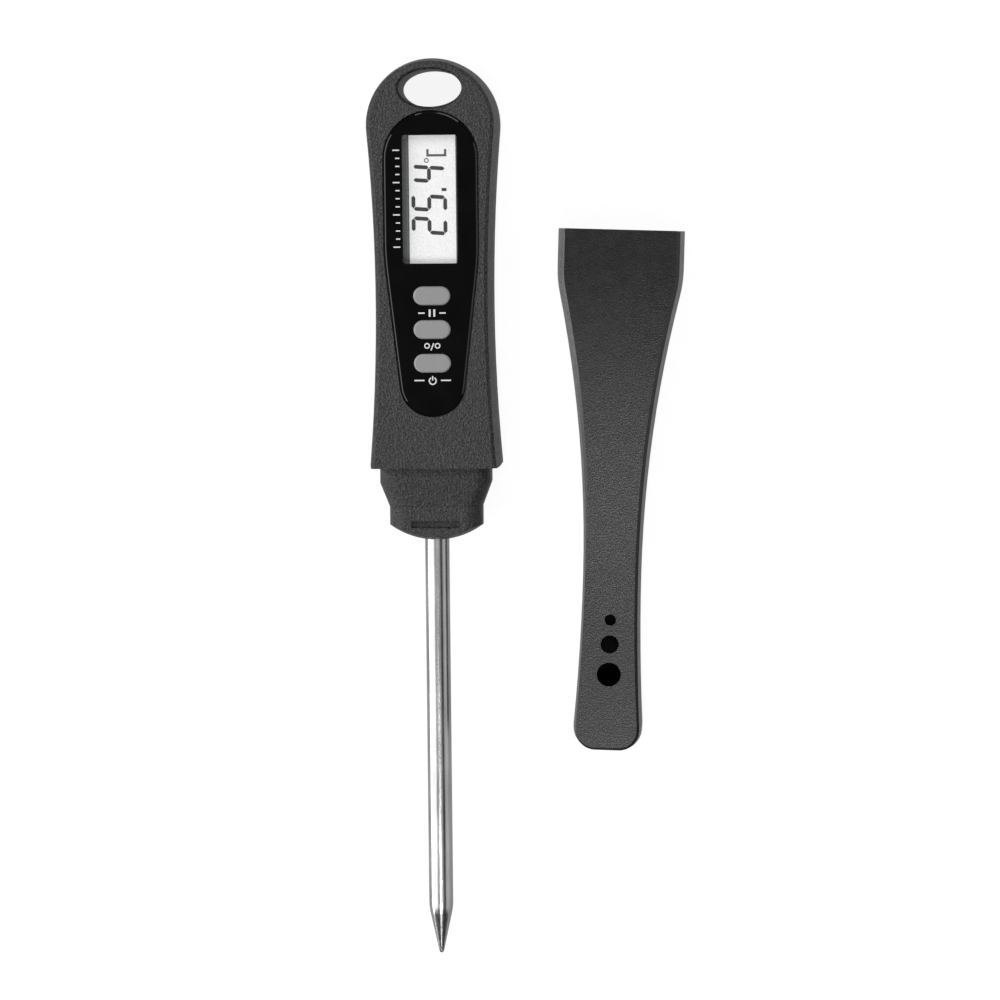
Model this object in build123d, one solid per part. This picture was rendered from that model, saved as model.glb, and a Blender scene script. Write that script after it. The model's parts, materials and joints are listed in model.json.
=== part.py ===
from build123d import *
from math import acos, atan2, cos, degrees, radians, sin, tan
import os

# A pen-type digital meat thermometer lying on its back, with its probe sheath beside it.
# The origin is the centre of the handle's flat back. +Z comes out of the front face,
# +Y runs along the handle towards the hang hole, and the probe points along -Y.

# Handle outline
HANDLE_LENGTH = 89.5
HANDLE_DEPTH = 16.6
HEAD_RADIUS = 14.6
WAIST_WIDTH = 25.8
WAIST_Y = -8.0
SHOULDER_RADIUS = 0.6
PARTING_Z = 8.0           # the two shells meet here, and the probe's axis lies in this plane
SIDE_WALL = 1.8
REAR_WALL = 1.6
BACK_EDGE = 2.0
DRAFT_START_Z = 9.6       # the front shell's side leans inwards from here
DRAFT_INSET = 0.8
BEVEL = (0.7, 0.42)       # width and drop of the bevel round the front face

# Neck that the sheath slips over
NECK_TIP_Y = -61.05
COLLAR_WIDTH, COLLAR_DEPTH = 24.5, 13.0
COLLAR_END_Y = -48.2
THROAT_WIDTH, THROAT_DEPTH = 20.5, 11.0
THROAT_START_Y = -53.5
NECK_CORNER = 3.6
NECK_DOME = 17.3
NECK_CAVITY_END_Y = -52.0
NECK_CAVITY_HALF_X, NECK_CAVITY_HALF_Z = 8.0, 4.4
SNAP_SLOT = (10.6, 1.6, 0.8)  # width, length along the neck, depth
SNAP_SLOT_Y = -57.3

# Hang hole
HANG_Y = 38.1
HANG_HALF_X, HANG_HALF_Y = 6.9, 4.05
HANG_WALL = 1.6
HANG_BEVEL = 0.5

# Display lens and its recess
LENS_TOP_Y, LENS_LOW_Y = 33.1, -33.2
LENS_TOP_RADIUS, LENS_LOW_RADIUS = 10.25, 7.05
LENS_BEND_Y = 1.5
LENS_BEND_RADIUS = 60.0
LENS_BOTTOM_Z, LENS_TOP_Z = 15.3, 16.5
LENS_GAP = 0.25
LENS_EDGE = (0.4, 0.22)    # width and drop of the bevel round the lens
FLOOR_Z = 14.3            # underside of the front wall beneath the lens

# Keys, from the hold key down
KEY_Y = {"hold": -6.95, "unit": -14.3, "power": -21.65}
KEY_LENGTH, KEY_WIDTH = 8.1, 4.1
KEY_TOP_Z = 17.0
KEY_GAP = 0.2
KEY_FLANGE = 0.7
KEY_FLANGE_THICK = 0.75
KEY_STEM_RADIUS = 1.2
KEY_TRAVEL = 0.3
SWITCH_SIDE, SWITCH_HEIGHT = 4.5, 1.5
PLUNGER_GAP = 0.07
PLUNGER_TOP_Z = 13.2
PLUNGER_INSIDE = 0.9
PLUNGER_SPARE = 0.1       # room left under a plunger that is pressed home

# Display: x and y limits of each layer, with the front glass's contact ledge on the -X side
GLASS = 0.7
POLARISER = 0.2
FRONT_GLASS_TOP_Z = 14.2
FRONT_GLASS = (-7.45, 6.15, -0.6, 28.6)
REAR_GLASS = (-5.15, 6.15, -0.6, 28.6)
ACTIVE_AREA = (-4.85, 5.35, 0.05, 27.95)
DISPLAY_WINDOW = (-7.15, 5.85, -0.3, 28.3)
ZEBRA = (-7.15, -5.55, 0.8, 27.2)
HOLDER_RIM = 0.9
HOLDER_TOP_Z = 13.9
HOLDER_TOP_Y = 29.3
STACK_GAP = 0.1
REAR_POLARISER_INSET = 0.6

# Circuit board
BOARD_TOP_Z = 10.9
BOARD = 0.8
BOARD_BOTTOM_Z = BOARD_TOP_Z - BOARD
BOARD_GAP = 0.5
BOARD_LOW_Y, BOARD_TOP_Y = -35.5, 29.2
BOARD_SCREWS = [(-10.6, 22.0), (10.6, 22.0), (-6.0, -30.0), (6.0, -30.0)]
BOARD_POST_RADIUS = 1.4
BOARD_SCREW_RADIUS = 0.7
BOARD_SCREW_HEAD = (1.3, 0.9)
BOARD_HOLE_RADIUS = 0.8
BOARD_PILOT_TOP_Z = 13.6
BOARD_SCREW_TOP_Z = 13.2

# Housing screws, put in from the back
HOUSING_SCREWS = [(0.0, 31.4), (-9.4, -38.5), (9.4, -38.5)]
BOSS_RADIUS = 2.0
REAR_BOSS_RADIUS = 2.4
SCREW_RADIUS = 1.0
SCREW_HEAD = (1.6, 1.4)
SCREW_SEAT_Z = 2.5
PILOT_TOP_Z, SCREW_TOP_Z = 13.4, 13.0

# Battery well, button cell and quarter-turn cap, on one vertical axis
BATTERY_Y = 8.0
CELL_RADIUS, CELL_HEIGHT = 5.8, 5.4
CAP_FLANGE_RADIUS = 8.9
CAP_FLANGE_Z = (0.2, 0.9)
CAP_PLUG_RADIUS = 6.9
CAP_PLUG_TOP_Z = 3.0
CAP_RUN = 0.1             # radial clearance round the cap
FLANGE_SEAT_Z = 1.3       # where the flange and its seal meet the rear shell
LUG_TRACK_Z = (2.2, 3.2)  # the groove that the lugs turn in
LUG_REACH = 0.9
LUG_Z = (2.35, 3.0)
LUG_ANGLE = 34.0
CAP_TURN = 70.0           # from locked to where the lugs meet the notches
WELL_RADIUS = 6.1
WELL_TOP_Z = 7.9
WELL_FOOT_RADIUS, WELL_FOOT_TOP_Z = 9.8, 4.2
WELL_WALL_RADIUS = 7.4
CLIP_GAP = (3.6, 2.6)      # width and depth of the well's gap for the upright contact
CONTACT = 0.3

# Probe
TUBE_RADIUS, TUBE_BORE = 2.7, 2.3
SEAT_RADIUS = 2.6         # the tube's reduced end, held inside the neck
TUBE_INNER_Y = -51.0
SEAT_END_Y = -60.6
PROBE_TIP_Y = -153.9
CONE_HALF_ANGLE = 12.2
TIP_RADIUS = 0.55
CONE_BLEND = 12.0
CLAMP = (9.0, 2.6, 8.0)   # width, thickness, height
CLAMP_Y = -54.5
SEAL_RADIUS, SEAL_LENGTH = 4.2, 1.4
SEAL_Y = -58.9
LEAD_RADIUS, LEAD_X = 0.35, 0.45
LEAD_BEND = 30.0
BEAD_RADIUS, BEAD_LENGTH = 0.8, 2.4
BEAD_TOP_Y = -146.6
POTTING_TOP_Y = -141.4

# Sheath, in its own frame: the mouth is at y = 0 and the closed end at -SHEATH_LENGTH
SHEATH_LENGTH = 115.1
SHEATH_DEPTH, SHEATH_END_DEPTH = 16.0, 12.6
MOUTH_HALF, MOUTH_STRAIGHT = 13.85, 8.5
SHOULDER_ARC = 25.0
SHEATH_WAIST_HALF, SHEATH_WAIST_Y = 6.4, -76.0
FLARE_HALF, FLARE_Y = 7.6, -109.4
END_CORNER = 5.0
SHEATH_SAG = 0.25         # how much higher the front face is at the waist than at the end
SHEATH_WALL = 1.3
SHEATH_LEAN, SHEATH_LEAN_Z = 1.0, 8.0
SHEATH_BEVEL = 0.7
SHEATH_BACK_EDGE = 1.5
VENTS = [(-85.6, 1.25), (-91.0, 2.0), (-97.7, 2.65)]   # y and radius of each hole
SHEATH_MOUTH = (41.3, 6.9)
SHEATH_TURN = -2.0

HANDLE_TOP_Y = HANDLE_LENGTH / 2
HANDLE_LOW_Y = -HANDLE_LENGTH / 2
HEAD_Y = HANDLE_TOP_Y - HEAD_RADIUS


def block(x_low, x_high, y_low, y_high, z_low, z_high):
    """A box between two corners."""
    middle = ((x_low + x_high) / 2, (y_low + y_high) / 2, (z_low + z_high) / 2)
    return Pos(*middle) * Box(x_high - x_low, y_high - y_low, z_high - z_low)


def post(radius, z_low, z_high, x=0.0, y=0.0):
    """A round post standing along Z."""
    return Pos(x, y, (z_low + z_high) / 2) * Cylinder(radius, z_high - z_low)


def rod(radius, y_low, y_high, x=0.0):
    """A round rod lying along Y at the height of the probe."""
    return Pos(x, (y_low + y_high) / 2, PARTING_Z) * Rot(90, 0, 0) * Cylinder(radius, y_high - y_low)


def slab(face, z_low, z_high):
    """A flat face on the XY plane, thickened between two heights."""
    return Pos(0, 0, z_low) * extrude(face, z_high - z_low)


def both_sides(edges):
    """Edges of the +X half of an outline, joined with their mirror images into a face."""
    mirrored = [mirror(edge, about=Plane.YZ) for edge in edges]
    return make_face(list(edges) + mirrored)


def handle_face():
    """Round head, then one long shallow waist curve on each side down to the shoulder."""
    half_waist = WAIST_WIDTH / 2
    rise = HEAD_Y - WAIST_Y
    waist_radius = (half_waist**2 + rise**2 - HEAD_RADIUS**2) / (2 * (HEAD_RADIUS - half_waist))
    waist_x = half_waist + waist_radius
    lean = atan2(rise, waist_x)
    join = (HEAD_RADIUS * cos(lean), HEAD_Y - HEAD_RADIUS * sin(lean))
    shoulder_x = waist_x - (waist_radius**2 - (WAIST_Y - HANDLE_LOW_Y)**2) ** 0.5
    shoulder = (shoulder_x, HANDLE_LOW_Y)
    turn = radians(45)
    over = (HEAD_RADIUS * cos(turn), HEAD_Y + HEAD_RADIUS * sin(turn))
    return both_sides([
        ThreePointArc((0, HANDLE_TOP_Y), over, join),
        ThreePointArc(join, (half_waist, WAIST_Y), shoulder),
        Line(shoulder, (0, HANDLE_LOW_Y)),
    ])


def lens_face(grow=0.0):
    """Teardrop: a round top, straight sides, then a taper to a smaller round end."""
    top_y = LENS_TOP_Y - LENS_TOP_RADIUS
    low_y = LENS_LOW_Y + LENS_LOW_RADIUS
    top_r, low_r = LENS_TOP_RADIUS + grow, LENS_LOW_RADIUS + grow
    bend = Vector(top_r, LENS_BEND_Y)
    reach = (bend - Vector(0, low_y)).length
    angle = atan2(LENS_BEND_Y - low_y, top_r) - acos(low_r / reach)
    touch = (low_r * cos(angle), low_y + low_r * sin(angle))
    low_turn = (angle - radians(90)) / 2
    under = (low_r * cos(low_turn), low_y + low_r * sin(low_turn))
    turn = radians(45)
    over = (top_r * cos(turn), top_y + top_r * sin(turn))
    face = both_sides([
        ThreePointArc((0, top_y + top_r), over, (top_r, top_y)),
        Line((top_r, top_y), bend),
        Line(bend, touch),
        ThreePointArc(touch, under, (0, low_y - low_r)),
    ])
    bends = face.vertices().filter_by(lambda v: abs(v.Y - LENS_BEND_Y) < 0.01)
    return fillet(bends, LENS_BEND_RADIUS)


def key_slots(z_low, z_high):
    """The three stadium-shaped openings that the keys move in."""
    shape = SlotOverall(KEY_LENGTH + 2 * KEY_GAP, KEY_WIDTH + 2 * KEY_GAP)
    return [Pos(0, y, 0) * slab(shape, z_low, z_high) for y in KEY_Y.values()]


def neck_section(y, width, depth):
    """Rounded rectangle across the neck at one place along it."""
    across = Plane(origin=(0, y, PARTING_Z), x_dir=(1, 0, 0), z_dir=(0, -1, 0))
    return across * RectangleRounded(width, depth, NECK_CORNER)


def neck_solid():
    """Collar, taper and throat, with a domed end."""
    start = HANDLE_LOW_Y + SIDE_WALL
    collar = extrude(neck_section(start, COLLAR_WIDTH, COLLAR_DEPTH), start - COLLAR_END_Y)
    taper = loft([
        neck_section(COLLAR_END_Y, COLLAR_WIDTH, COLLAR_DEPTH),
        neck_section(THROAT_START_Y, THROAT_WIDTH, THROAT_DEPTH),
    ])
    throat = extrude(neck_section(THROAT_START_Y, THROAT_WIDTH, THROAT_DEPTH),
                     THROAT_START_Y - NECK_TIP_Y + NECK_CORNER)
    dome = Pos(0, NECK_TIP_Y + NECK_DOME, PARTING_Z) * Sphere(NECK_DOME)
    neck = (collar + taper + throat) & dome
    slot_width, slot_height, slot_depth = SNAP_SLOT
    top = PARTING_Z + THROAT_DEPTH / 2
    slot = block(-slot_width / 2, slot_width / 2, -slot_height / 2, slot_height / 2,
                 top - slot_depth, top + 1)
    return neck - Pos(0, SNAP_SLOT_Y, 0) * slot


def round_edges(face):
    """The edges of a flat face that follow the head and the sides, without the shoulder's edge."""
    return face.outer_wire().edges().filter_by(lambda e: e.center().Y > HANDLE_LOW_Y + 0.01)


def handle_solid():
    """The handle's outer shape: leaning sides, a bevel round the face, and a square shoulder."""
    body = slab(handle_face(), 0, HANDLE_DEPTH)
    for inset, drop in ((DRAFT_INSET, HANDLE_DEPTH - DRAFT_START_Z), BEVEL):
        top = body.faces().sort_by(Axis.Z)[-1]
        body = chamfer(round_edges(top), inset, drop, reference=top)
    back = body.faces().sort_by(Axis.Z)[0]
    body = fillet(round_edges(back), BACK_EDGE)
    outline = handle_face()
    corners = outline.vertices().filter_by(lambda v: v.Y < HANDLE_LOW_Y + 0.01 and abs(v.X) > 1)
    return body & slab(fillet(corners, SHOULDER_RADIUS), 0, HANDLE_DEPTH)


def hang_oval(grow, z_low, z_high):
    """Upright oval post on the hang hole's axis."""
    return Pos(0, HANG_Y, 0) * slab(Ellipse(HANG_HALF_X + grow, HANG_HALF_Y + grow), z_low, z_high)


def hang_cut():
    """The hang hole with a bevelled rim at both faces."""
    hole = hang_oval(0, -1, HANDLE_DEPTH + 1)
    wide = Ellipse(HANG_HALF_X + HANG_BEVEL, HANG_HALF_Y + HANG_BEVEL)
    narrow = Ellipse(HANG_HALF_X, HANG_HALF_Y)
    for face_z, inward in ((0, 1), (HANDLE_DEPTH, -1)):
        rim = loft([
            Pos(0, HANG_Y, face_z) * wide,
            Pos(0, HANG_Y, face_z + inward * HANG_BEVEL) * narrow,
        ])
        hole += rim
    return hole


def inside():
    """Everything hollow inside the closed housing, before the bosses are added back."""
    room = slab(offset(handle_face(), -SIDE_WALL), REAR_WALL, FLOOR_Z)
    throat = block(-NECK_CAVITY_HALF_X, NECK_CAVITY_HALF_X,
                   NECK_CAVITY_END_Y, HANDLE_LOW_Y + SIDE_WALL + 1,
                   PARTING_Z - NECK_CAVITY_HALF_Z, PARTING_Z + NECK_CAVITY_HALF_Z)
    return room + throat


def probe_seat():
    """Space in the neck for the tube, its clamp plate and its seal."""
    bore = rod(TUBE_RADIUS + 0.05, NECK_TIP_Y - 2, SEAT_END_Y + 0.5)
    narrow = rod(SEAT_RADIUS + 0.02, SEAT_END_Y, NECK_CAVITY_END_Y + 1)
    width, thick, height = CLAMP
    pocket = Pos(0, CLAMP_Y, PARTING_Z) * Box(width + 0.1, thick + 0.04, height + 0.1)
    groove = rod(SEAL_RADIUS + 0.02, SEAL_Y - SEAL_LENGTH / 2 - 0.02, SEAL_Y + SEAL_LENGTH / 2 + 0.02)
    return bore + narrow + pocket + groove


def above(part, z):
    """The part of a solid that is higher than z."""
    return part & block(-60, 60, -200, 80, z, 60)


def below(part, z):
    """The part of a solid that is lower than z."""
    return part & block(-60, 60, -200, 80, -60, z)


def make_front_housing(shell):
    """Front shell: lens recess, display window, key slots, board posts and screw bosses."""
    front = above(shell, PARTING_Z)
    front += above(hang_oval(HANG_WALL, REAR_WALL, FLOOR_Z), PARTING_Z)
    bosses = [post(BOSS_RADIUS, PARTING_Z, FLOOR_Z, x, y) for x, y in HOUSING_SCREWS]
    posts = [post(BOARD_POST_RADIUS, BOARD_TOP_Z, FLOOR_Z, x, y) for x, y in BOARD_SCREWS]
    front += bosses + posts
    front -= slab(lens_face(LENS_GAP), LENS_BOTTOM_Z, HANDLE_DEPTH + 1)
    front -= block(*DISPLAY_WINDOW, FLOOR_Z - 1, HANDLE_DEPTH)
    front -= key_slots(FLOOR_Z - 1, HANDLE_DEPTH)
    front -= [post(SCREW_RADIUS + 0.02, PARTING_Z - 1, PILOT_TOP_Z, x, y) for x, y in HOUSING_SCREWS]
    front -= [post(BOARD_SCREW_RADIUS + 0.02, BOARD_TOP_Z - 1, BOARD_PILOT_TOP_Z, x, y)
              for x, y in BOARD_SCREWS]
    return front - hang_cut() - probe_seat()


def cap_recess():
    """Stepped opening in the back for the bayonet cap, with two notches that let its lugs in."""
    track_low, track_high = LUG_TRACK_Z
    opening = post(CAP_FLANGE_RADIUS + CAP_RUN, -1, FLANGE_SEAT_Z)
    opening += post(CAP_PLUG_RADIUS + CAP_RUN, 0, track_low + 0.2)
    opening += post(CAP_PLUG_RADIUS + LUG_REACH + CAP_RUN, track_low, track_high)
    opening += post(WELL_RADIUS, track_high - 0.2, WELL_TOP_Z + 1)
    notches = lugs(FLANGE_SEAT_Z - 0.1, track_low + 0.1, extra_reach=0.2, extra_angle=3.0)
    return opening + Rot(0, 0, CAP_TURN) * notches


def lugs(z_low, z_high, extra_reach=0.0, extra_angle=0.0):
    """Two opposite lugs on the cap's plug, on the X axis when the cap is locked."""
    reach = CAP_PLUG_RADIUS + LUG_REACH + extra_reach
    ring = post(reach, z_low, z_high) - post(CAP_PLUG_RADIUS - 0.5, z_low, z_high)
    half = radians(LUG_ANGLE / 2 + extra_angle)
    wedge = Polygon((0, 0), (20, -20 * tan(half)), (20, 20 * tan(half)), align=None)
    wedges = slab(wedge, z_low, z_high) + Rot(0, 0, 180) * slab(wedge, z_low, z_high)
    return ring & wedges


def make_rear_housing(shell):
    """Rear shell: screw bosses, and the battery well with its stepped opening."""
    rear = below(shell, PARTING_Z)
    rear += below(hang_oval(HANG_WALL, REAR_WALL, FLOOR_Z), PARTING_Z)
    rear += [post(REAR_BOSS_RADIUS, REAR_WALL, PARTING_Z, x, y) for x, y in HOUSING_SCREWS]
    well = post(WELL_FOOT_RADIUS, REAR_WALL, WELL_FOOT_TOP_Z)
    well += post(WELL_WALL_RADIUS, WELL_FOOT_TOP_Z, WELL_TOP_Z)
    rear += Pos(0, BATTERY_Y, 0) * well
    rear -= Pos(0, BATTERY_Y, 0) * cap_recess()
    gap_width, gap_depth = CLIP_GAP
    gap_y = BATTERY_Y - WELL_RADIUS + 0.5
    rear -= block(-gap_width / 2, gap_width / 2, gap_y - gap_depth, gap_y, WELL_FOOT_TOP_Z, PARTING_Z)
    rear -= [post(SCREW_RADIUS + 0.1, 0, PARTING_Z + 1, x, y) for x, y in HOUSING_SCREWS]
    rear -= [post(SCREW_HEAD[0] + 0.2, -1, SCREW_SEAT_Z, x, y) for x, y in HOUSING_SCREWS]
    return rear - hang_cut() - probe_seat()


def make_lens():
    """Clear plate that carries the black print, with slots for the keys."""
    lens = slab(lens_face(), LENS_BOTTOM_Z, LENS_TOP_Z)
    top = lens.faces().sort_by(Axis.Z)[-1]
    lens = chamfer(top.outer_wire().edges(), LENS_EDGE[0], LENS_EDGE[1], reference=top)
    return lens - key_slots(LENS_BOTTOM_Z - 1, LENS_TOP_Z + 1)


def make_key(y):
    """Key with a flange that holds it behind the front wall and a stem that meets the switch."""
    cap = slab(SlotOverall(KEY_LENGTH, KEY_WIDTH), FLOOR_Z - 0.1, KEY_TOP_Z)
    cap = fillet(cap.faces().sort_by(Axis.Z)[-1].edges(), 0.45)
    flange_shape = SlotOverall(KEY_LENGTH + 2 * KEY_FLANGE, KEY_WIDTH + 2 * KEY_FLANGE)
    flange_top = FLOOR_Z - 0.05
    flange = slab(flange_shape, flange_top - KEY_FLANGE_THICK, flange_top)
    stem = post(KEY_STEM_RADIUS, PLUNGER_TOP_Z, FLOOR_Z - 0.1)
    return Pos(0, y, 0) * (cap + flange + stem)


def make_switch_case(y):
    """Square switch body with a round well for its plunger."""
    top = BOARD_TOP_Z + SWITCH_HEIGHT
    half = SWITCH_SIDE / 2
    case = block(-half, half, -half, half, BOARD_TOP_Z, top)
    well_z = top - PLUNGER_INSIDE - KEY_TRAVEL - PLUNGER_SPARE
    well = post(KEY_STEM_RADIUS + PLUNGER_GAP, well_z, top + 1)
    return Pos(0, y, 0) * (case - well)


def make_plunger(y):
    """Round plunger that the key presses."""
    low = BOARD_TOP_Z + SWITCH_HEIGHT - PLUNGER_INSIDE
    return post(KEY_STEM_RADIUS, low, PLUNGER_TOP_Z, 0, y)


def display_layers():
    """The display's stack, from the top polariser down to the rubber connector strip."""
    front_low = FRONT_GLASS_TOP_Z - GLASS
    rear_low = front_low - GLASS
    step = REAR_POLARISER_INSET
    back_layer = (REAR_GLASS[0] + step, REAR_GLASS[1] - step, REAR_GLASS[2] + step, REAR_GLASS[3] - step)
    layers = {
        "lcd_front_polariser": block(*ACTIVE_AREA, FRONT_GLASS_TOP_Z, FRONT_GLASS_TOP_Z + POLARISER),
        "lcd_front_glass": block(*FRONT_GLASS, front_low, FRONT_GLASS_TOP_Z),
        "lcd_rear_glass": block(*REAR_GLASS, rear_low, front_low),
        "lcd_rear_polariser": block(*back_layer, rear_low - POLARISER, rear_low),
        "zebra_strip": block(*ZEBRA, BOARD_TOP_Z, front_low),
    }
    gap = STACK_GAP
    holder = block(FRONT_GLASS[0] - HOLDER_RIM, FRONT_GLASS[1] + HOLDER_RIM,
                   FRONT_GLASS[2] - HOLDER_RIM, HOLDER_TOP_Y, BOARD_TOP_Z, HOLDER_TOP_Z)
    holder -= block(FRONT_GLASS[0] - gap, FRONT_GLASS[1] + gap, FRONT_GLASS[2] - gap,
                    FRONT_GLASS[3] + gap, front_low, HOLDER_TOP_Z + 1)
    holder -= block(REAR_GLASS[0] - gap, REAR_GLASS[1] + gap, REAR_GLASS[2] - gap,
                    REAR_GLASS[3] + gap, rear_low, front_low + 1)
    holder -= block(back_layer[0] - gap, back_layer[1] + gap, back_layer[2] - gap,
                    back_layer[3] + gap, BOARD_TOP_Z - 1, rear_low + 1)
    holder -= block(ZEBRA[0] - 0.05, ZEBRA[1] + 0.05, ZEBRA[2] - gap, ZEBRA[3] + gap,
                    BOARD_TOP_Z - 1, front_low + 1)
    layers["lcd_holder"] = holder
    return layers


def make_board():
    """Circuit board, cut to the handle's outline, with its screw holes."""
    outline = slab(offset(handle_face(), -SIDE_WALL - BOARD_GAP), BOARD_BOTTOM_Z, BOARD_TOP_Z)
    board = outline & block(-20, 20, BOARD_LOW_Y, BOARD_TOP_Y, 0, HANDLE_DEPTH)
    return board - [post(BOARD_HOLE_RADIUS, 0, HANDLE_DEPTH, x, y) for x, y in BOARD_SCREWS]


def make_chip_blob():
    """Resin dome over the bonded controller chip."""
    radius, height, y = 3.6, 1.1, -12.0
    dome = post(radius, BOARD_BOTTOM_Z - height, BOARD_BOTTOM_Z, 0, y)
    return fillet(dome.faces().sort_by(Axis.Z)[0].edges(), 0.9)


def make_crystal():
    """Small can of the watch crystal, lying across the board."""
    radius, length, y = 1.0, 6.0, -21.5
    return Pos(0, y, BOARD_BOTTOM_Z - radius) * Rot(0, 90, 0) * Cylinder(radius, length)


def make_capacitors():
    """Chip capacitors in a row."""
    width, length, height = 1.2, 2.0, 0.8
    middle_y, spacing = -26.0, 3.0
    chip = Box(width, length, height)
    return [Pos(x, middle_y, BOARD_BOTTOM_Z - height / 2) * chip for x in (-spacing, 0.0, spacing)]


def make_cell():
    """Button cell standing on the cap, its smaller face towards the board."""
    step = 0.5
    cell = post(CELL_RADIUS, CAP_PLUG_TOP_Z, CAP_PLUG_TOP_Z + CELL_HEIGHT - step, 0, BATTERY_Y)
    cell = fillet(cell.faces().sort_by(Axis.Z)[0].edges(), 0.4)
    top = post(CELL_RADIUS - 0.9, CAP_PLUG_TOP_Z + 1, CAP_PLUG_TOP_Z + CELL_HEIGHT, 0, BATTERY_Y)
    return cell + top


def make_spring_contact():
    """Leaf from the board down to the cell's smaller face."""
    touch = CAP_PLUG_TOP_Z + CELL_HEIGHT + 0.05
    top = BOARD_BOTTOM_Z
    points = [(19, top), (16, top), (9.6, touch + CONTACT), (7, touch + CONTACT),
              (7, touch), (9.7, touch), (16.1, top - CONTACT), (19, top - CONTACT)]
    profile = Plane.YZ * Polygon(*points, align=None)
    return Pos(-1.25, 0, 0) * extrude(profile, 2.5)


def make_clip_contact():
    """Upright leaf against the cell's side, with a foot on the board."""
    face_y = BATTERY_Y - CELL_RADIUS - 0.05
    leaf = block(-1.5, 1.5, face_y - CONTACT, face_y, 4.5, BOARD_BOTTOM_Z)
    foot = block(-1.5, 1.5, face_y - 3.2, face_y, BOARD_BOTTOM_Z - CONTACT, BOARD_BOTTOM_Z)
    return leaf + foot


def make_battery_cap():
    """Cap with a coin slot, a plug that carries the cell, and two bayonet lugs."""
    flange_low, flange_high = CAP_FLANGE_Z
    cap = post(CAP_FLANGE_RADIUS, flange_low, flange_high)
    cap = fillet(cap.faces().sort_by(Axis.Z)[0].edges(), 0.3)
    cap += post(CAP_PLUG_RADIUS, flange_high - 0.2, CAP_PLUG_TOP_Z)
    cap += lugs(*LUG_Z)
    coin_slot = slab(SlotOverall(12.0, 2.2), flange_low - 0.1, flange_low + 1.2)
    return Pos(0, BATTERY_Y, 0) * (cap - coin_slot)


def make_battery_seal():
    """Flat rubber ring under the cap's flange."""
    low, high = CAP_FLANGE_Z[1], FLANGE_SEAT_Z - 0.05
    outer, inner = CAP_FLANGE_RADIUS - 0.3, CAP_PLUG_RADIUS + 0.2
    return post(outer, low, high, 0, BATTERY_Y) - post(inner, low, high, 0, BATTERY_Y)


def probe_profile(shrink):
    """Half outline of the drawn tip, from its shoulder to its rounded point."""
    lean = radians(CONE_HALF_ANGLE)
    ball, side = TIP_RADIUS, TUBE_RADIUS - shrink
    centre_y = PROBE_TIP_Y + ball + shrink / sin(lean)
    touch = (ball * cos(lean), centre_y - ball * sin(lean))
    shoulder_y = touch[1] + (side - touch[0]) / tan(lean)
    middle = radians(90 - CONE_HALF_ANGLE) / 2
    under = (ball * sin(middle), centre_y - ball * cos(middle))
    return side, shoulder_y, touch, under, (0, centre_y - ball)


def tip_solid(shrink, top_y):
    """Solid of revolution with the probe's pointed end."""
    side, shoulder_y, touch, under, point = probe_profile(shrink)
    face = make_face([
        Line((0, top_y), (side, top_y)),
        Line((side, top_y), (side, shoulder_y)),
        Line((side, shoulder_y), touch),
        ThreePointArc(touch, under, point),
        Line(point, (0, top_y)),
    ])
    shoulder = face.vertices().filter_by(lambda v: abs(v.Y - shoulder_y) < 0.01 and v.X > 1)
    face = fillet(shoulder, CONE_BLEND)
    return Pos(0, 0, PARTING_Z) * revolve(face, Axis.Y)


def make_probe():
    """Steel tube, reduced where the neck holds it, closed by a drawn cone."""
    wall = TUBE_RADIUS - TUBE_BORE
    tube = tip_solid(0, SEAT_END_Y) + rod(SEAT_RADIUS, SEAT_END_Y, TUBE_INNER_Y)
    return tube - tip_solid(wall, SEAT_END_Y) - rod(TUBE_BORE, SEAT_END_Y - 1, TUBE_INNER_Y + 1)


def make_clamp():
    """Square plate fixed on the tube, held in a pocket of both neck halves."""
    width, thick, height = CLAMP
    plate = Pos(0, CLAMP_Y, PARTING_Z) * Box(width, thick, height)
    return plate - rod(SEAT_RADIUS, CLAMP_Y - thick, CLAMP_Y + thick)


def make_probe_seal():
    """Rubber ring round the tube near the neck's end."""
    low, high = SEAL_Y - SEAL_LENGTH / 2, SEAL_Y + SEAL_LENGTH / 2
    return rod(SEAL_RADIUS, low, high) - rod(SEAT_RADIUS, low - 1, high + 1)


def make_thermistor():
    """Glass bead of the sensor."""
    bead = rod(BEAD_RADIUS, BEAD_TOP_Y - BEAD_LENGTH, BEAD_TOP_Y)
    return fillet(bead.edges(), 0.35)


def make_lead(x):
    """Insulated lead from the sensor, through the tube, up to a pad under the board."""
    pad_z = BOARD_BOTTOM_Z - LEAD_RADIUS
    route = [(x, BEAD_TOP_Y, PARTING_Z), (x, -45.6, PARTING_Z), (x, -38.0, pad_z), (x, -32.0, pad_z)]
    path = FilletPolyline(*route, radius=LEAD_BEND)
    start = Plane(origin=route[0], x_dir=(1, 0, 0), z_dir=(0, 1, 0))
    return sweep(start * Circle(LEAD_RADIUS), path=path)


def make_potting(inner_pieces):
    """Resin that fills the tip round the sensor."""
    fill = tip_solid(TUBE_RADIUS - TUBE_BORE, POTTING_TOP_Y)
    return fill - inner_pieces


def make_housing_screws():
    """Screws from the back, with a cross recess in each head."""
    head_radius, head_height = SCREW_HEAD
    low = SCREW_SEAT_Z - head_height
    screw = post(head_radius, low, SCREW_SEAT_Z) + post(SCREW_RADIUS, SCREW_SEAT_Z, SCREW_TOP_Z)
    cross = Box(1.9, 0.45, 1.6) + Box(0.45, 1.9, 1.6)
    screw = fillet(screw.faces().sort_by(Axis.Z)[0].edges(), 0.4) - Pos(0, 0, low) * cross
    return [Pos(x, y, 0) * screw for x, y in HOUSING_SCREWS]


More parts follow.
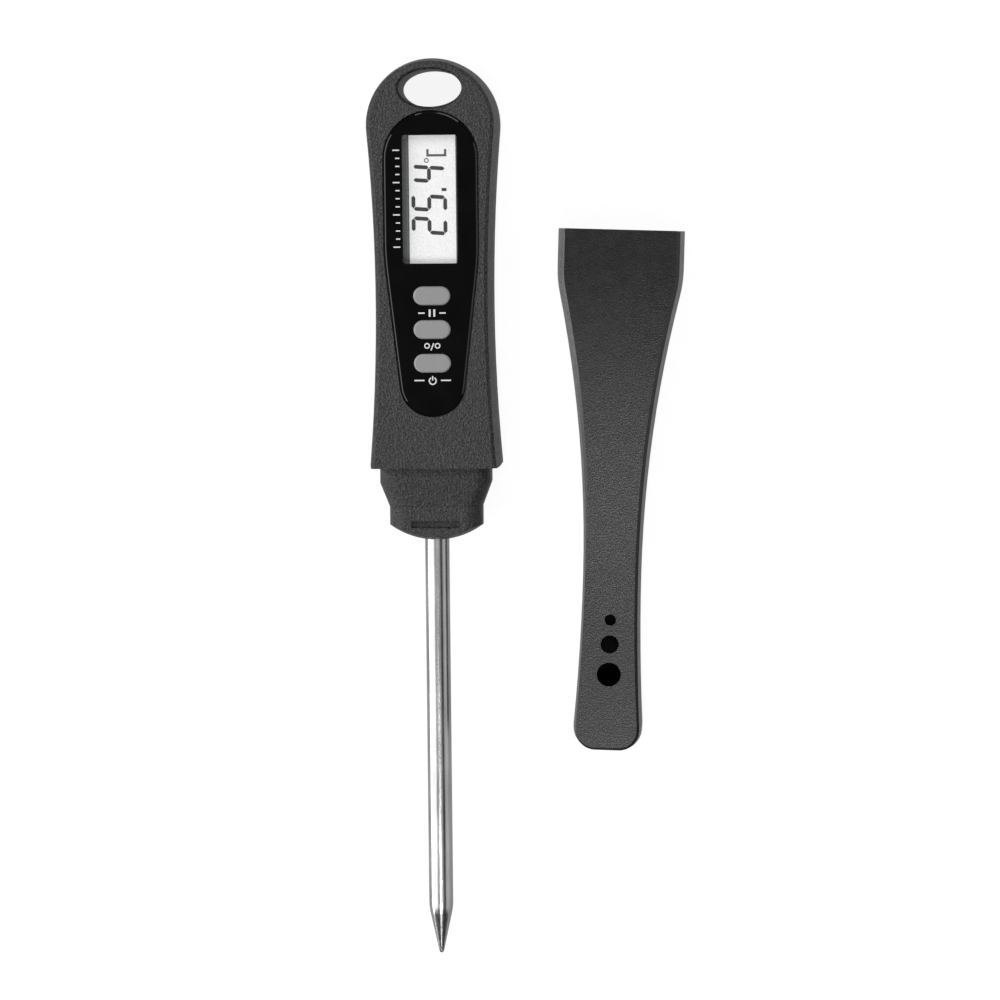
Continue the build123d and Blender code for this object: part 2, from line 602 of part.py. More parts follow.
def make_board_screws():
    """Small screws that hold the board to the front shell's posts."""
    head_radius, head_height = BOARD_SCREW_HEAD
    low = BOARD_BOTTOM_Z - head_height
    screw = post(head_radius, low, BOARD_BOTTOM_Z)
    screw += post(BOARD_SCREW_RADIUS, BOARD_BOTTOM_Z, BOARD_SCREW_TOP_Z)
    screw -= Pos(0, 0, low) * (Box(1.5, 0.35, 1.0) + Box(0.35, 1.5, 1.0))
    return [Pos(x, y, 0) * screw for x, y in BOARD_SCREWS]


def sheath_face(inset):
    """Bottle outline: wide mouth, a shoulder, a slim waist and a slightly flared closed end."""
    drop, run = MOUTH_HALF - SHEATH_WAIST_HALF, -MOUTH_STRAIGHT - SHEATH_WAIST_Y
    turn = 2 * atan2(drop, run)
    waist_arc = run / sin(turn) - SHOULDER_ARC + inset
    shoulder_arc = SHOULDER_ARC - inset
    rise, reach = FLARE_HALF - SHEATH_WAIST_HALF, SHEATH_WAIST_Y - FLARE_Y
    flare_arc = (rise**2 + reach**2) / (2 * rise) + inset
    flare_turn = degrees(2 * atan2(rise, reach))
    mouth = Line((MOUTH_HALF - inset, 0), (MOUTH_HALF - inset, -MOUTH_STRAIGHT))
    shoulder = JernArc(mouth @ 1, (0, -1), shoulder_arc, -degrees(turn))
    waist = JernArc(shoulder @ 1, shoulder % 1, waist_arc, degrees(turn))
    flare = JernArc(waist @ 1, waist % 1, flare_arc, flare_turn)
    end_y = -SHEATH_LENGTH + inset
    side = flare @ 1
    edges = [mouth, shoulder, waist, flare, Line(side, (side.X, end_y)),
             Line((side.X, end_y), (0, end_y)), Line((0, 0), mouth @ 0)]
    face = both_sides(edges)
    corners = face.vertices().filter_by(lambda v: abs(v.Y - end_y) < 0.01 and abs(v.X) > 1)
    return fillet(corners, END_CORNER - inset)


def sheath_side(inset):
    """Side view: flat underneath, with the top falling gently towards the closed end."""
    high, low = SHEATH_DEPTH - inset, SHEATH_END_DEPTH - inset
    end_y = -SHEATH_LENGTH - 5
    top = Spline((0, high), (-MOUTH_STRAIGHT, high), (SHEATH_WAIST_Y, low + SHEATH_SAG), (end_y, low),
                 tangents=[(-1, 0), (-1, 0)])
    face = make_face([
        top,
        Line((end_y, low), (end_y, inset)),
        Line((end_y, inset), (0, inset)),
        Line((0, inset), (0, high)),
    ])
    return Pos(-20, 0, 0) * extrude(Plane.YZ * face, 40)


def sheath_block(inset, bevel):
    """One skin of the sheath: leaning sides, a falling front face and a bevel round it."""
    solid = slab(sheath_face(inset), inset, SHEATH_DEPTH)
    top = solid.faces().sort_by(Axis.Z)[-1]
    edges = top.outer_wire().edges().filter_by(lambda e: e.center().Y < -0.1)
    solid = chamfer(edges, SHEATH_LEAN, SHEATH_DEPTH - SHEATH_LEAN_Z, reference=top)
    solid = solid & sheath_side(inset)
    top = solid.faces().sort_by(Axis.Z)[-1]
    edges = top.outer_wire().edges().filter_by(lambda e: e.center().Y < -0.1)
    return chamfer(edges, bevel)


def make_sheath():
    """Thin-walled sheath, closed at one end and vented in front."""
    outer = sheath_block(0, SHEATH_BEVEL)
    back = outer.faces().sort_by(Axis.Z)[0]
    outer = fillet(back.outer_wire().edges().filter_by(lambda e: e.center().Y < -0.1), SHEATH_BACK_EDGE)
    shell = outer - sheath_block(SHEATH_WALL, SHEATH_BEVEL)
    for y, radius in VENTS:
        shell -= post(radius, SHEATH_END_DEPTH / 2, SHEATH_DEPTH + 1, 0, y)
    return Pos(*SHEATH_MOUTH, 0) * Rot(0, 0, SHEATH_TURN) * shell


def build():
    """All pieces, by node name."""
    shell = handle_solid() + neck_solid() - inside()
    leads = [make_lead(-LEAD_X), make_lead(LEAD_X)]
    thermistor = make_thermistor()
    parts = {
        "front_housing": make_front_housing(shell),
        "rear_housing": make_rear_housing(shell),
        "display_lens": make_lens(),
        "circuit_board": make_board(),
        "chip_blob": make_chip_blob(),
        "clock_crystal": make_crystal(),
        "chip_capacitors": make_capacitors(),
        "battery_cell": make_cell(),
        "battery_spring": make_spring_contact(),
        "battery_clip": make_clip_contact(),
        "battery_cap": make_battery_cap(),
        "battery_seal": make_battery_seal(),
        "probe_tube": make_probe(),
        "probe_clamp": make_clamp(),
        "probe_seal": make_probe_seal(),
        "thermistor": thermistor,
        "tip_potting": make_potting([thermistor] + leads),
        "red_lead": leads[0],
        "black_lead": leads[1],
        "housing_screws": make_housing_screws(),
        "board_screws": make_board_screws(),
        "sheath": make_sheath(),
    }
    parts.update(display_layers())
    for name, y in KEY_Y.items():
        parts[f"{name}_key"] = make_key(y)
        parts[f"{name}_switch_case"] = make_switch_case(y)
        parts[f"{name}_switch_plunger"] = make_plunger(y)
    return parts


def main():
    os.makedirs("parts", exist_ok=True)
    for name, part in build().items():
        solids = part if isinstance(part, list) else [part]
        bodies = [solid for piece in solids for solid in piece.solids()]
        export_step(bodies[0] if len(bodies) == 1 else Compound(children=bodies), f"parts/{name}.step")


if __name__ == "__main__":
    main()
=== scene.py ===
import json
import math

import bpy
from mathutils import Matrix, Vector


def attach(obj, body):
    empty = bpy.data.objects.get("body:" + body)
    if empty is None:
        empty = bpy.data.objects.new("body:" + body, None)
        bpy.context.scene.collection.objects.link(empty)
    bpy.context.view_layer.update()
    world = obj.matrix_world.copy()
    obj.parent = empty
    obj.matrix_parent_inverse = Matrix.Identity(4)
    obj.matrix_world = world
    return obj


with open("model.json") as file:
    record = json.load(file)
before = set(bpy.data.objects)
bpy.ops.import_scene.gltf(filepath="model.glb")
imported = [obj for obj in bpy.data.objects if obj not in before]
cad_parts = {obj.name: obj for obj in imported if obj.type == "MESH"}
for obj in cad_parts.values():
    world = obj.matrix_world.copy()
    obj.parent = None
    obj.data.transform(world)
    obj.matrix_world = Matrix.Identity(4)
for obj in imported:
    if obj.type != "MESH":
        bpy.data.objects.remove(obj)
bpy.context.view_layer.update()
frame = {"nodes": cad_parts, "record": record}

MM = 0.001
WHITE = (1.0, 1.0, 1.0)

# Places and lengths are in millimetres in the frame's own axes, down to the stage

# Heights of the faces that carry ink, the ink's thickness, and how far it stands off the display
# or sinks into the lens
FIELD_TOP_Z = 14.4
LENS_TOP_Z = 16.5
INK = 0.02
INK_OFFSET = 0.005

# The clear window in the lens: its middle, half its size, the radius of its corners, half the
# width of its soft edge, and how much it still covers
WINDOW_CENTRE, WINDOW_HALF = (-0.26, 14.0), (6.04, 14.0)
WINDOW_CORNER = 0.7
WINDOW_EDGE = 0.03
WINDOW_ALPHA = 0.04

# The sheath's faces below this height that look up, by their normal's Z, are its cavity's floor,
# which gets painted shade: near black and matt
PAINTED_SHADE_TOP_Z = 9.0
LOOKS_UP = 0.5

# Seven-segment digits: their foot and size, their strokes, the segments of each number, and each
# digit's middle along the display
DIGIT_FOOT_X, DIGIT_HEIGHT, DIGIT_WIDTH = 3.01, 6.95, 2.9
STROKE = 0.84
SEGMENT_GAP = 0.07
SLANT = math.tan(math.radians(4.0))
SEGMENTS = {"2": "abged", "5": "afgcd", "4": "fgbc"}
READING = [("2", 8.25), ("5", 13.2), ("4", 19.45)]
POINT_START, POINT_END, POINT_WIDTH = (2.25, 16.1), (3.3, 16.1), 0.65

# The degree ring, and the C as one outline that opens towards +Y
DEGREE_CENTRE, DEGREE_RADIUS, DEGREE_WIDTH = (-1.0, 22.45), 0.42, 0.22
C_SPINE_Y, C_TIPS_Y, C_FOOT_X, C_HEAD_X, C_STROKE = 23.3, 24.9, 3.35, -1.0, 0.5

# The tick scale beside the display. Every fourth tick is long
TICKS, TICKS_TO_LONG = 13, 4
TICK_FIRST_Y, TICK_PITCH, TICK_END_X, TICK_WIDTH = 3.7, 1.75, -6.75, 0.28
TICK_SHORT, TICK_LONG = 0.9, 1.5

# The marks under the keys: two bars, two rings with a slash, and a power sign
KEY_Y = {"hold": -6.95, "unit": -14.3, "power": -21.65}
LEGEND_DROP = 3.75
MARK_HALF = 0.8
DASH_WIDTH = 0.3
HOLD_BAR_X, HOLD_BAR_WIDTH, HOLD_DASH_X, HOLD_DASH_HALF = 0.5, 0.42, 2.3, 0.7
UNIT_RING_X, UNIT_RING_RISE, UNIT_RING_RADIUS, UNIT_STROKE = 1.15, 0.2, 0.5, 0.26
UNIT_SLASH_X = 0.3
POWER_RING_DROP, POWER_RING_RADIUS, POWER_STROKE = 0.1, 0.75, 0.28
POWER_RING_START, POWER_RING_SWEEP, POWER_STEM = 120.0, 300.0, 0.95
POWER_DASH_X, POWER_DASH_HALF = 2.9, 1.1

# The stage, in metres
FLOOR_SIZE, FLOOR_DROP = 6.0, 0.00005
SEEN_GLOW, MIRRORED_GLOW = 0.90, 0.38
STAGE_MIDDLE = (0.01, -0.05, 0.0)
WORLD_GLOW = 0.05
CAMERA_PLACE = Vector((0.057, 0.015, 0.800))
CAMERA_AIM = Vector((0.01400, -0.0524, 0.008))
CAMERA_ROLL = math.radians(0.55)
CAMERA_LENS_MM, CAMERA_SENSOR_MM = 129.6, 36.0
CAMERA_NEAR = 0.01


# ---------------------------------------------------------------- materials

BROAD_TO_FINE = 0.13  # the scale of a finish's patches, as a share of its grain's


def new_material(name):
    """A material with its node tree and its one shader."""
    material = bpy.data.materials.new(name)
    material.use_nodes = True
    tree = material.node_tree
    return material, tree, tree.nodes["Principled BSDF"]


def wire(tree, source, target):
    tree.links.new(source, target)


def place_of(tree, stretch=(1.0, 1.0, 1.0)):
    """Position on the object in millimetres, divided by a stretch along each axis."""
    where = tree.nodes.new("ShaderNodeTexCoord")
    scaled = tree.nodes.new("ShaderNodeMapping")
    scaled.inputs["Scale"].default_value = [1.0 / MM / s for s in stretch]
    wire(tree, where.outputs["Object"], scaled.inputs["Vector"])
    return scaled.outputs["Vector"]


def noise(tree, where, scale, detail=3.0, rough=0.55):
    """Noise between 0 and 1. The scale is in features for each millimetre."""
    node = tree.nodes.new("ShaderNodeTexNoise")
    node.inputs["Scale"].default_value = scale
    node.inputs["Detail"].default_value = detail
    node.inputs["Roughness"].default_value = rough
    wire(tree, where, node.inputs["Vector"])
    return node.outputs["Fac"]


def spread(tree, value, low, high, start=0.3, end=0.7):
    """Maps a value between start and end onto low to high, and goes no further."""
    node = tree.nodes.new("ShaderNodeMapRange")
    node.inputs["From Min"].default_value = start
    node.inputs["From Max"].default_value = end
    node.inputs["To Min"].default_value = low
    node.inputs["To Max"].default_value = high
    wire(tree, value, node.inputs["Value"])
    return node.outputs["Result"]


def maths(tree, kind, *values):
    """One Math node. Each value is a number or another node's output."""
    node = tree.nodes.new("ShaderNodeMath")
    node.operation = kind
    for socket, value in zip(node.inputs, values):
        if isinstance(value, (int, float)):
            socket.default_value = value
        else:
            wire(tree, value, socket)
    return node.outputs["Value"]


def tint(tree, value, dark, light, start=0.3, end=0.7):
    """A colour between dark and light, by a value between start and end."""
    ramp = tree.nodes.new("ShaderNodeValToRGB")
    ramp.color_ramp.elements[0].position = start
    ramp.color_ramp.elements[1].position = end
    ramp.color_ramp.elements[0].color = (*dark, 1.0)
    ramp.color_ramp.elements[1].color = (*light, 1.0)
    wire(tree, value, ramp.inputs["Fac"])
    return ramp.outputs["Color"]


def bump(tree, shader, height, depth, strength=1.0):
    """Surface relief. The depth is in millimetres."""
    node = tree.nodes.new("ShaderNodeBump")
    node.inputs["Strength"].default_value = strength
    node.inputs["Distance"].default_value = depth * MM
    wire(tree, height, node.inputs["Height"])
    wire(tree, node.outputs["Normal"], shader.inputs["Normal"])


def finish(name, colour, vary, rough, grain, depth, metal=0.0, **fixed):
    """A finish with fine grain in its colour and relief, and broad patches in its roughness."""
    material, tree, shader = new_material(name)
    where = place_of(tree)
    fine = noise(tree, where, grain)
    broad = noise(tree, where, grain * BROAD_TO_FINE, 2.0)
    dark = [c * (1 - vary) for c in colour]
    light = [min(1.0, c * (1 + vary)) for c in colour]
    wire(tree, tint(tree, fine, dark, light), shader.inputs["Base Color"])
    wire(tree, spread(tree, broad, *rough), shader.inputs["Roughness"])
    shader.inputs["Metallic"].default_value = metal
    for socket, value in fixed.items():
        shader.inputs[socket.replace("_", " ")].default_value = value
    if depth:
        bump(tree, shader, fine, depth)
    return material


def moulded_black():
    """The handle's spark-eroded texture: small cells and fine noise together."""
    material, tree, shader = new_material("textured_black")
    where = place_of(tree)
    fine = noise(tree, where, 2.6, rough=0.6)
    cells = tree.nodes.new("ShaderNodeTexVoronoi")
    cells.inputs["Scale"].default_value = 2.0
    wire(tree, where, cells.inputs["Vector"])
    relief = maths(tree, "ADD", fine, maths(tree, "MULTIPLY", cells.outputs["Distance"], 0.5))
    wire(tree, tint(tree, fine, (0.003, 0.003, 0.003), (0.038, 0.038, 0.038), 0.42, 0.66),
         shader.inputs["Base Color"])
    wire(tree, spread(tree, noise(tree, where, 0.5), 0.36, 0.44), shader.inputs["Roughness"])
    bump(tree, shader, relief, 0.35)
    return material


def satin_black():
    """The sheath's satin skin. The floor of its cavity gets painted shade: near black, and matt."""
    material, tree, shader = new_material("satin_black_sheath")
    where = place_of(tree)
    fine = noise(tree, where, 2.8)
    skin = tint(tree, fine, (0.002, 0.002, 0.002), (0.008, 0.008, 0.008))
    height = tree.nodes.new("ShaderNodeSeparateXYZ")
    wire(tree, where, height.inputs["Vector"])
    facing = tree.nodes.new("ShaderNodeSeparateXYZ")
    wire(tree, tree.nodes.new("ShaderNodeNewGeometry").outputs["Normal"], facing.inputs["Vector"])
    low = maths(tree, "LESS_THAN", height.outputs["Z"], PAINTED_SHADE_TOP_Z)
    up_facing = maths(tree, "GREATER_THAN", facing.outputs["Z"], LOOKS_UP)
    painted_shade_floor = maths(tree, "MULTIPLY", low, up_facing)
    # Painted shade: the cavity's floor is coloured near black so the vents look dark inside
    mixed = tree.nodes.new("ShaderNodeMix")
    mixed.data_type = "RGBA"
    wire(tree, painted_shade_floor, mixed.inputs["Factor"])
    wire(tree, skin, mixed.inputs["A"])
    mixed.inputs["B"].default_value = (0.001, 0.001, 0.001, 1.0)
    wire(tree, mixed.outputs["Result"], shader.inputs["Base Color"])
    sheen = spread(tree, noise(tree, where, 0.36, 2.0), 0.28, 0.34)
    wire(tree, maths(tree, "MAXIMUM", sheen, painted_shade_floor), shader.inputs["Roughness"])
    bump(tree, shader, fine, 0.045)
    return material


def lens_black():
    """Gloss black print behind a clear plate, with a rounded clear window over the display."""
    material, tree, shader = new_material("gloss_black_lens")
    where = tree.nodes.new("ShaderNodeSeparateXYZ")
    wire(tree, place_of(tree), where.inputs["Vector"])
    beyond = []
    for axis, middle, half in zip("XY", WINDOW_CENTRE, WINDOW_HALF):
        off = maths(tree, "ABSOLUTE", maths(tree, "SUBTRACT", where.outputs[axis], middle))
        past = maths(tree, "MAXIMUM", maths(tree, "SUBTRACT", off, half - WINDOW_CORNER), 0.0)
        beyond.append(maths(tree, "POWER", past, 2.0))
    away = maths(tree, "SQRT", maths(tree, "ADD", *beyond))
    solid = spread(tree, away, WINDOW_ALPHA, 1.0,
                   WINDOW_CORNER - WINDOW_EDGE, WINDOW_CORNER + WINDOW_EDGE)
    wire(tree, solid, shader.inputs["Alpha"])
    smear = noise(tree, place_of(tree), 0.2, 2.0)
    wire(tree, tint(tree, smear, (0.002, 0.002, 0.002), (0.003, 0.003, 0.003)),
         shader.inputs["Base Color"])
    wire(tree, spread(tree, smear, 0.02, 0.04), shader.inputs["Roughness"])
    return material


def brushed_steel():
    """Drawn tube, polished along its length."""
    material, tree, shader = new_material("drawn_stainless")
    lines = noise(tree, place_of(tree, (1.0, 40.0, 1.0)), 3.0)
    clouds = noise(tree, place_of(tree, (1.0, 4.0, 1.0)), 0.35, 2.0)
    pits = noise(tree, place_of(tree), 0.9, 1.0)
    value = maths(tree, "ADD",
                  maths(tree, "MULTIPLY", lines, 0.5),
                  maths(tree, "MULTIPLY", clouds, 0.5))
    wire(tree, tint(tree, value, (0.30, 0.30, 0.30), (0.52, 0.52, 0.52)),
         shader.inputs["Base Color"])
    wear = maths(tree, "ADD", value, maths(tree, "MULTIPLY", pits, 0.1))
    wire(tree, spread(tree, wear, 0.16, 0.26), shader.inputs["Roughness"])
    shader.inputs["Metallic"].default_value = 1.0
    bump(tree, shader, lines, 0.002, 0.6)
    return material


def striped_rubber():
    """Conductive and insulating layers of the strip under the glass."""
    material, tree, shader = new_material("striped_rubber")
    stripes = tree.nodes.new("ShaderNodeTexWave")
    stripes.bands_direction = "Y"
    stripes.inputs["Scale"].default_value = 1.6
    wire(tree, place_of(tree), stripes.inputs["Vector"])
    banded = tint(tree, stripes.outputs["Fac"], (0.02, 0.02, 0.02), (0.45, 0.43, 0.40), 0.45, 0.55)
    wire(tree, banded, shader.inputs["Base Color"])
    wire(tree, spread(tree, noise(tree, place_of(tree), 3.0), 0.55, 0.7),
         shader.inputs["Roughness"])
    return material


def board_green():
    """Solder mask over copper tracks."""
    material, tree, shader = new_material("green_board")
    tracks = tree.nodes.new("ShaderNodeTexBrick")
    tracks.inputs["Scale"].default_value = 0.5
    tracks.inputs["Mortar Size"].default_value = 0.035
    tracks.inputs["Color1"].default_value = (0.010, 0.075, 0.030, 1.0)
    tracks.inputs["Color2"].default_value = (0.012, 0.085, 0.034, 1.0)
    tracks.inputs["Mortar"].default_value = (0.030, 0.160, 0.060, 1.0)
    wire(tree, place_of(tree), tracks.inputs["Vector"])
    wire(tree, tracks.outputs["Color"], shader.inputs["Base Color"])
    wire(tree, spread(tree, noise(tree, place_of(tree), 1.5), 0.28, 0.4),
         shader.inputs["Roughness"])
    return material


# Each finish: its name, colour, the share by which the colour varies, its lowest and highest
# roughness, its grain in features for each millimetre, and its relief in millimetres
FINISHES = {
    "housing": moulded_black(),
    "sheath": satin_black(),
    "lens": lens_black(),
    "lcd_glass": finish("display_glass", (0.30, 0.32, 0.31), 0.05, (0.05, 0.1), 0.8, 0, Alpha=0.5),
    # Painted light: the display field glows a little so it looks brighter, though the display is
    # reflective and has no lamp
    "polariser": finish("display_field", (0.80, 0.80, 0.80), 0.14, (0.40, 0.50), 3.0, 0.02,
                        Emission_Color=(0.8, 0.8, 0.8, 1.0), Emission_Strength=0.28),
    "reflector": finish("display_reflector", (0.55, 0.55, 0.54), 0.05, (0.30, 0.40), 4.0, 0.004,
                        metal=0.6),
    "white_plastic": finish("white_holder", (0.78, 0.78, 0.76), 0.03, (0.45, 0.55), 2.0, 0.005),
    "zebra_rubber": striped_rubber(),
    "board": board_green(),
    "resin": finish("black_resin", (0.010, 0.010, 0.011), 0.2, (0.20, 0.35), 0.8, 0.01),
    "plated_metal": finish("nickel_plate", (0.62, 0.61, 0.58), 0.05, (0.18, 0.28), 3.0, 0.002,
                           metal=1.0),
    "capacitor": finish("capacitor_ceramic", (0.42, 0.30, 0.19), 0.1, (0.35, 0.45), 4.0, 0.005),
    "contact_metal": finish("tinned_contact", (0.70, 0.68, 0.62), 0.05, (0.22, 0.32), 3.0, 0.002,
                            metal=1.0),
    "seal_rubber": finish("seal_rubber", (0.016, 0.016, 0.016), 0.2, (0.55, 0.70), 2.0, 0.01),
    "stainless": brushed_steel(),
    "brass_plate": finish("brass_plate", (0.62, 0.44, 0.18), 0.06, (0.25, 0.35), 2.5, 0.003,
                          metal=1.0),
    "sensor_glass": finish("sensor_bead", (0.30, 0.12, 0.04), 0.1, (0.08, 0.15), 2.0, 0.002),
    "red_insulation": finish("red_insulation", (0.45, 0.02, 0.015), 0.08, (0.38, 0.48), 3.0, 0.004),
    "black_insulation": finish("black_insulation", (0.015, 0.015, 0.015), 0.1, (0.38, 0.48),
                               3.0, 0.004),
    "screw_steel": finish("zinc_screw", (0.55, 0.55, 0.54), 0.08, (0.25, 0.38), 3.0, 0.004,
                          metal=1.0),
    "keys": finish("grey_key", (0.235, 0.235, 0.235), 0.06, (0.50, 0.60), 4.0, 0.008),
    "switch_case": finish("switch_case", (0.35, 0.35, 0.34), 0.06, (0.40, 0.50), 3.0, 0.004),
    "switch_plunger": finish("switch_plunger", (0.60, 0.58, 0.52), 0.05, (0.40, 0.50), 3.0, 0.004),
}
DIGIT_INK = finish("display_segment", (0.045, 0.045, 0.045), 0.08, (0.45, 0.55), 5.0, 0)
UNIT_INK = finish("faint_display_segment", (0.11, 0.11, 0.11), 0.08, (0.45, 0.55), 5.0, 0)
PRINT_INK = finish("white_print", (0.62, 0.62, 0.62), 0.06, (0.45, 0.55), 5.0, 0)
FLOOR = finish("pale_floor", (0.14, 0.14, 0.14), 0.01, (0.75, 0.8), 0.02, 0)

for part in frame["record"]["subparts"]:
    mesh = frame["nodes"][part["node"]].data
    mesh.materials.clear()
    mesh.materials.append(FINISHES[part["material_slot"]])


# ---------------------------------------------------------------- display and print

def thin_piece(name, outlines, low_z, material):
    """Flat shapes of ink, each a list of corners in millimetres, as one thin mesh."""
    points, faces = [], []
    for outline in outlines:
        first, count = len(points), len(outline)
        for z in (low_z, low_z + INK):
            points += [(x * MM, y * MM, z * MM) for x, y in outline]
        faces.append([first + i for i in reversed(range(count))])
        faces.append([first + count + i for i in range(count)])
        for i in range(count):
            j = (i + 1) % count
            faces.append([first + i, first + j, first + count + j, first + count + i])
    mesh = bpy.data.meshes.new(name)
    mesh.from_pydata(points, [], faces)
    mesh.update()
    mesh.materials.append(material)
    piece = bpy.data.objects.new(name, mesh)
    bpy.context.scene.collection.objects.link(piece)
    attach(piece, "thermometer")


def bar(start, end, width, point=0.0):
    """A straight stroke between two places, with square ends or points of the given length."""
    start, end = Vector(start), Vector(end)
    along = (end - start).normalized()
    side = Vector((-along.y, along.x)) * width / 2
    if not point:
        corners = [start - side, end - side, end + side, start + side]
    else:
        tip = along * point
        corners = [start, start + tip - side, end - tip - side, end, end - tip + side,
                   start + tip + side]
    return [tuple(corner) for corner in corners]


def ring(centre, radius, width, start=0.0, sweep=360.0, steps=24):
    """A round stroke, as a chain of short straight ones."""
    turns = [math.radians(start + sweep * i / steps) for i in range(steps + 1)]
    quads = []
    for a, b in zip(turns, turns[1:]):
        quads.append([(centre[0] + r * math.cos(t), centre[1] + r * math.sin(t))
                      for r, t in ((radius - width / 2, a), (radius + width / 2, a),
                                   (radius + width / 2, b), (radius - width / 2, b))])
    return quads


def upright(outline):
    """Turns a shape counter-clockwise so that its face points up."""
    area = sum(a[0] * b[1] - b[0] * a[1] for a, b in zip(outline, outline[1:] + outline[:1]))
    return outline if area > 0 else outline[::-1]


def digit(number, middle):
    """Seven-segment strokes, read from -Y to +Y with their tops towards -X."""
    top, half, side = DIGIT_HEIGHT, DIGIT_HEIGHT / 2, DIGIT_WIDTH / 2
    ends = {
        "a": ((-side, top), (side, top)), "g": ((-side, half), (side, half)),
        "d": ((-side, 0), (side, 0)), "b": ((side, half), (side, top)),
        "c": ((side, 0), (side, half)), "f": ((-side, half), (-side, top)),
        "e": ((-side, 0), (-side, half)),
    }
    shapes = []
    for name in SEGMENTS[number]:
        start, end = Vector(ends[name][0]), Vector(ends[name][1])
        along = (end - start).normalized() * SEGMENT_GAP
        flat = bar(start + along, end - along, STROKE, STROKE / 2)
        shapes.append(upright([(DIGIT_FOOT_X - v, middle + u + SLANT * (v - half))
                               for u, v in flat]))
    return shapes


def dashes(distance, half_length, y):
    """Two level dashes, one each side of the middle."""
    return [bar((x - half_length, y), (x + half_length, y), DASH_WIDTH)
            for x in (-distance, distance)]


field_ink_z = FIELD_TOP_Z + INK_OFFSET
digits = []
for number, middle in READING:
    digits += digit(number, middle)
digits.append(upright(bar(POINT_START, POINT_END, POINT_WIDTH)))
thin_piece("display_digits", digits, field_ink_z, DIGIT_INK)
unit_sign = [upright(q) for q in ring(DEGREE_CENTRE, DEGREE_RADIUS, DEGREE_WIDTH)]
unit_sign.append(upright([
    (C_FOOT_X, C_SPINE_Y), (C_FOOT_X, C_TIPS_Y),
    (C_FOOT_X - C_STROKE, C_TIPS_Y), (C_FOOT_X - C_STROKE, C_SPINE_Y + C_STROKE),
    (C_HEAD_X + C_STROKE, C_SPINE_Y + C_STROKE), (C_HEAD_X + C_STROKE, C_TIPS_Y),
    (C_HEAD_X, C_TIPS_Y), (C_HEAD_X, C_SPINE_Y)]))
thin_piece("display_degree_unit", unit_sign, field_ink_z, UNIT_INK)

print_z = LENS_TOP_Z - INK_OFFSET
scale_marks = []
for step in range(TICKS):
    y = TICK_FIRST_Y + step * TICK_PITCH
    reach = TICK_LONG if step % TICKS_TO_LONG == 0 else TICK_SHORT
    scale_marks.append(upright(bar((TICK_END_X - reach, y), (TICK_END_X, y), TICK_WIDTH)))
thin_piece("print_tick_scale", scale_marks, print_z, PRINT_INK)

hold_y, unit_y, power_y = (KEY_Y[name] - LEGEND_DROP for name in ("hold", "unit", "power"))
hold_mark = [bar((x, hold_y - MARK_HALF), (x, hold_y + MARK_HALF), HOLD_BAR_WIDTH)
             for x in (-HOLD_BAR_X, HOLD_BAR_X)]
hold_mark += dashes(HOLD_DASH_X, HOLD_DASH_HALF, hold_y)
thin_piece("print_hold_mark", [upright(q) for q in hold_mark], print_z, PRINT_INK)

unit_mark = []
for x in (-UNIT_RING_X, UNIT_RING_X):
    unit_mark += ring((x, unit_y + UNIT_RING_RISE), UNIT_RING_RADIUS, UNIT_STROKE)
unit_mark.append(bar((-UNIT_SLASH_X, unit_y - MARK_HALF), (UNIT_SLASH_X, unit_y + MARK_HALF),
                     UNIT_STROKE))
thin_piece("print_unit_mark", [upright(q) for q in unit_mark], print_z, PRINT_INK)

power_mark = ring((0.0, power_y - POWER_RING_DROP), POWER_RING_RADIUS, POWER_STROKE,
                  start=POWER_RING_START, sweep=POWER_RING_SWEEP)
power_mark.append(bar((0.0, power_y), (0.0, power_y + POWER_STEM), POWER_STROKE))
power_mark += dashes(POWER_DASH_X, POWER_DASH_HALF, power_y)
thin_piece("print_power_mark", [upright(q) for q in power_mark], print_z, PRINT_INK)


# ---------------------------------------------------------------- floor, light and camera

bpy.ops.mesh.primitive_plane_add(size=FLOOR_SIZE, location=(0, 0, -FLOOR_DROP))
floor = bpy.context.object
floor.name = "floor"
floor.data.materials.append(FLOOR)

# The floor glows as on a light table. The object mirrors a weaker glow, and isn't lit by it
floor_tree = FLOOR.node_tree
floor_shader = floor_tree.nodes["Principled BSDF"]
rays = floor_tree.nodes.new("ShaderNodeLightPath")
floor_shader.inputs["Emission Color"].default_value = (*WHITE, 1.0)
wire(floor_tree, maths(floor_tree, "ADD",
                       maths(floor_tree, "MULTIPLY", rays.outputs["Is Camera Ray"], SEEN_GLOW),
                       maths(floor_tree, "MULTIPLY", rays.outputs["Is Glossy Ray"], MIRRORED_GLOW)),
     floor_shader.inputs["Emission Strength"])


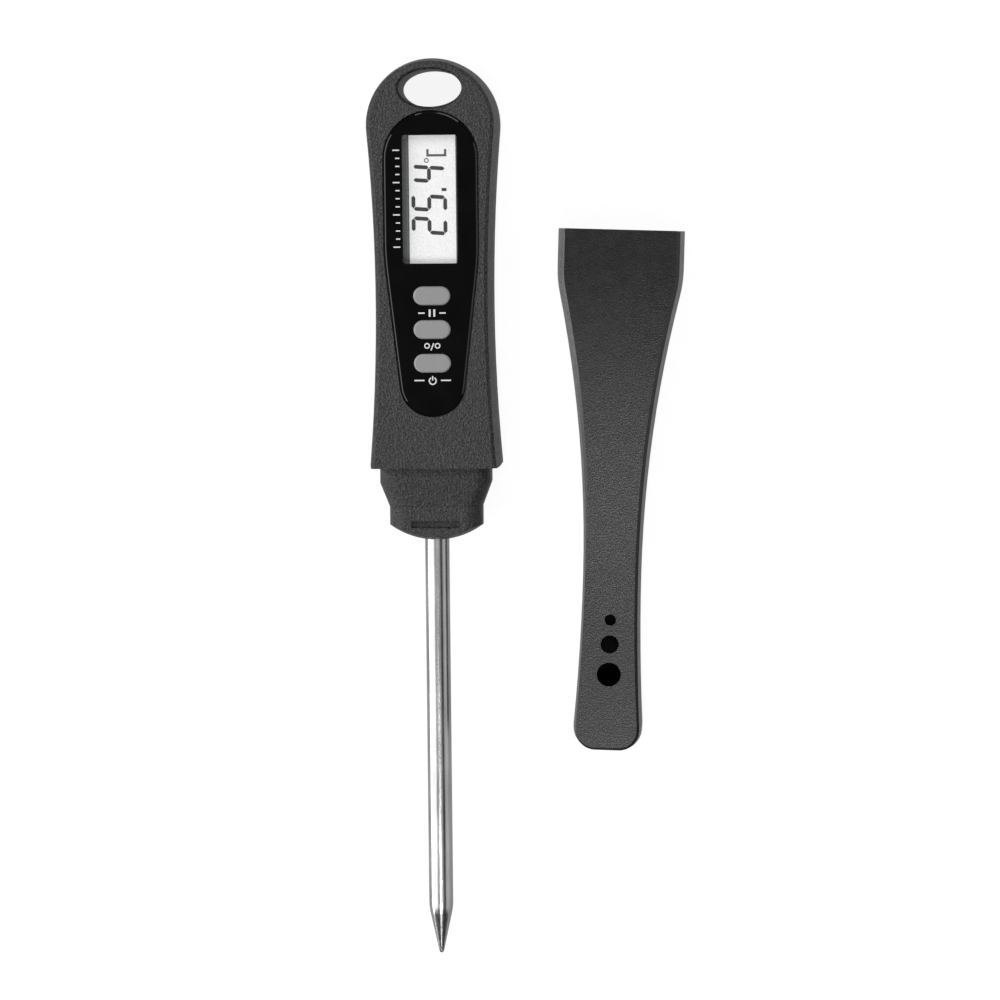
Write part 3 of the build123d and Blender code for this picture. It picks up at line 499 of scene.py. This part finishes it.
def softbox(name, centre, size, radiance, aim=STAGE_MIDDLE):
    """A rectangular soft light whose surface has the given brightness, turned towards its aim."""
    light = bpy.data.lights.new(name, "AREA")
    light.shape = "RECTANGLE"
    light.size, light.size_y = size
    light.energy = radiance * math.pi * size[0] * size[1]
    holder = bpy.data.objects.new(name, light)
    bpy.context.scene.collection.objects.link(holder)
    holder.location = centre
    direction = Vector(aim) - Vector(centre)
    holder.rotation_euler = direction.to_track_quat("-Z", "Y").to_euler()


softbox("left_softbox", (-0.88, -0.05, 0.62), (1.2, 1.08), 2.5)
softbox("right_softbox", (0.98, -0.05, 0.34), (1.2, 0.70), 0.8)
softbox("end_softbox", (-0.04, -0.38, 1.00), (1.20, 0.56), 0.60, aim=(-0.04, -0.38, 0.0))
softbox("end_small_box", (0.05, -0.56, 0.98), (0.26, 0.44), 11.0, aim=(0.05, -0.56, 0.0))
softbox("left_low_strip", (-0.95, -0.05, 0.14), (1.2, 0.20), 6.5)
softbox("head_softbox", (0.05, 0.62, 0.80), (0.9, 0.75), 2.0)
softbox("head_low_strip", (0.03, 0.90, 0.07), (1.0, 0.12), 3.0)

world = bpy.data.worlds.new("studio")
world.use_nodes = True
world.node_tree.nodes["Background"].inputs["Color"].default_value = (*WHITE, 1.0)
world.node_tree.nodes["Background"].inputs["Strength"].default_value = WORLD_GLOW
bpy.context.scene.world = world
bpy.context.scene.view_settings.view_transform = "Standard"

camera_data = bpy.data.cameras.new("photo_camera")
camera_data.sensor_width = CAMERA_SENSOR_MM
camera_data.lens = CAMERA_LENS_MM
camera_data.clip_start = CAMERA_NEAR
camera = bpy.data.objects.new("photo_camera", camera_data)
bpy.context.scene.collection.objects.link(camera)
back = (CAMERA_PLACE - CAMERA_AIM).normalized()
up = Vector((math.sin(CAMERA_ROLL), math.cos(CAMERA_ROLL), 0.0))
right = up.cross(back).normalized()
up = back.cross(right)
turned = Matrix((right, up, back)).transposed().to_4x4()
camera.matrix_world = Matrix.Translation(CAMERA_PLACE) @ turned
bpy.context.scene.camera = camera
